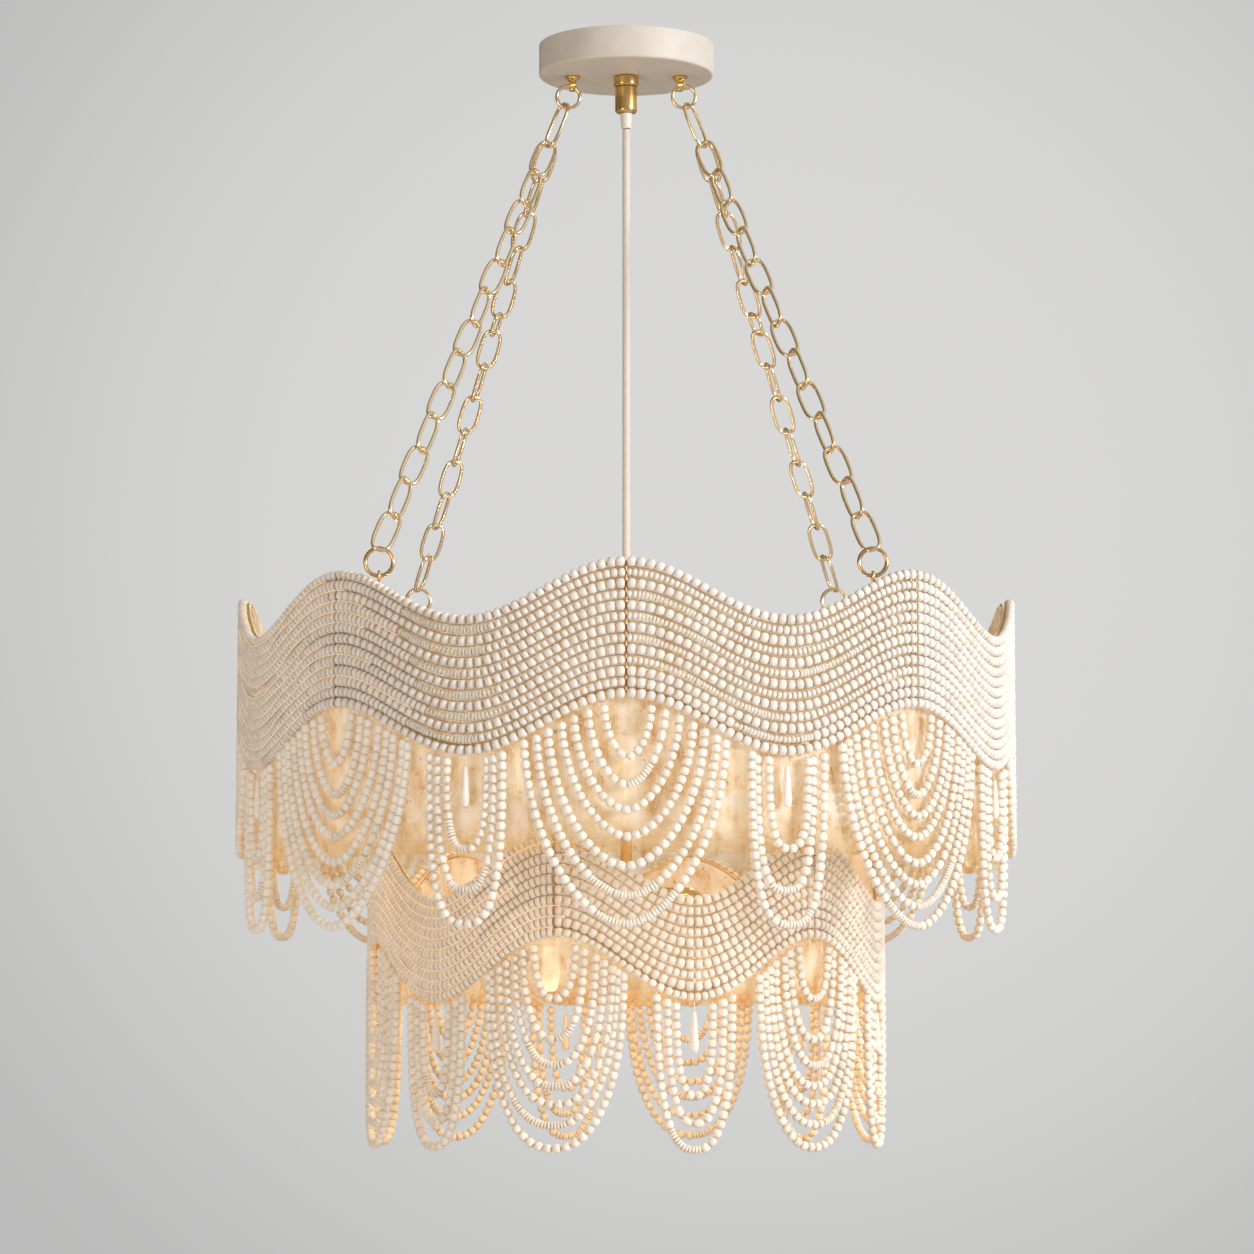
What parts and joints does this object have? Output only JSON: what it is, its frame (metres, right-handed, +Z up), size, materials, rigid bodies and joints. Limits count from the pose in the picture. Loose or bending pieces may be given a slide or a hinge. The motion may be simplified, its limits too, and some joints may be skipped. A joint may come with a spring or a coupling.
{
  "type": "beaded chandelier",
  "caption": "Two-tier drum chandelier of waved bead rows and draped bead strings over glowing liners, hung from a round canopy on splayed chains.",
  "frame": {"origin": "centre of the ceiling side of the mounting crossbar, in the ceiling plane", "axes": "+Z up into the ceiling, -Y towards the viewer in the picture (front), +X to the viewer's right"},
  "size_m": [0.6, 0.6, 0.8505],
  "materials": {
    "zinc_plate": "zinc-plated steel",
    "cream_paint": "matt cream paint on steel",
    "brass": "satin brass",
    "gold_wire": "satin gold-plated wire",
    "wood_beads": "cream-washed turned wood beads",
    "parchment": "mottled translucent parchment laminate",
    "cord_cover": "cream braided cord cover",
    "cream_plastic": "moulded cream plastic",
    "porcelain": "unglazed porcelain lampholder",
    "lamp_glass": "lit warm white capsule lamp"
  },
  "bodies": {
    "ceiling_plate": {"mounting_crossbar": "zinc_plate", "canopy": "cream_paint", "cord_grip_collar": "brass", "cord_grip_nut": "brass", "strain_relief_sleeve": "cream_plastic", "ceiling_eye_left": "brass", "ceiling_eye_right": "brass"},
    "pendant": {"supply_cord": "cord_cover", "upper_frame": "gold_wire", "upper_spider": "gold_wire", "lower_frame": "gold_wire", "upper_bead_band": "wood_beads", "lower_bead_band": "wood_beads", "upper_liner": "parchment", "lower_liner": "parchment", "upper_lamp_cluster": "brass", "lower_lamp_cluster": "brass", "front_chain_left": "brass", "back_chain_left": "brass", "front_chain_right": "brass", "back_chain_right": "brass", "upper_socket_front": "porcelain", "upper_socket_right": "porcelain", "upper_socket_left": "porcelain", "lower_socket_right": "porcelain", "lower_socket_left": "porcelain", "upper_large_swag_1": "wood_beads", "upper_small_swag_1": "wood_beads", "upper_large_swag_2": "wood_beads", "upper_small_swag_2": "wood_beads", "upper_large_swag_3": "wood_beads", "upper_small_swag_3": "wood_beads", "upper_large_swag_4": "wood_beads", "upper_small_swag_4": "wood_beads", "upper_large_swag_5": "wood_beads", "upper_small_swag_5": "wood_beads", "upper_large_swag_6": "wood_beads", "upper_small_swag_6": "wood_beads", "upper_large_swag_7": "wood_beads", "upper_small_swag_7": "wood_beads", "upper_large_swag_8": "wood_beads", "upper_small_swag_8": "wood_beads", "lower_large_swag_1": "wood_beads", "lower_small_swag_1": "wood_beads", "lower_large_swag_2": "wood_beads", "lower_small_swag_2": "wood_beads", "lower_large_swag_3": "wood_beads", "lower_small_swag_3": "wood_beads", "lower_large_swag_4": "wood_beads", "lower_small_swag_4": "wood_beads", "lower_large_swag_5": "wood_beads", "lower_small_swag_5": "wood_beads", "lower_large_swag_6": "wood_beads", "lower_small_swag_6": "wood_beads"},
    "upper_bulb_front": {"upper_bulb_front": "lamp_glass"},
    "upper_bulb_right": {"upper_bulb_right": "lamp_glass"},
    "upper_bulb_left": {"upper_bulb_left": "lamp_glass"},
    "lower_bulb_right": {"lower_bulb_right": "lamp_glass"},
    "lower_bulb_left": {"lower_bulb_left": "lamp_glass"}
  },
  "joints": [
    {"name": "pendant_swing", "type": "hinge", "parent": "ceiling_plate", "child": "pendant", "pos_m": [0, 0, -0.0327], "axis": [1, 0, 0], "range_deg": [-8, 8]},
    {"name": "upper_bulb_front_pull", "type": "slide", "parent": "pendant", "child": "upper_bulb_front", "axis": [0, 0, -1], "range_m": [0, 0.014]},
    {"name": "upper_bulb_right_pull", "type": "slide", "parent": "pendant", "child": "upper_bulb_right", "axis": [0, 0, -1], "range_m": [0, 0.014]},
    {"name": "upper_bulb_left_pull", "type": "slide", "parent": "pendant", "child": "upper_bulb_left", "axis": [0, 0, -1], "range_m": [0, 0.014]},
    {"name": "lower_bulb_right_pull", "type": "slide", "parent": "pendant", "child": "lower_bulb_right", "axis": [0, 0, -1], "range_m": [0, 0.014]},
    {"name": "lower_bulb_left_pull", "type": "slide", "parent": "pendant", "child": "lower_bulb_left", "axis": [0, 0, -1], "range_m": [0, 0.014]}
  ]
}
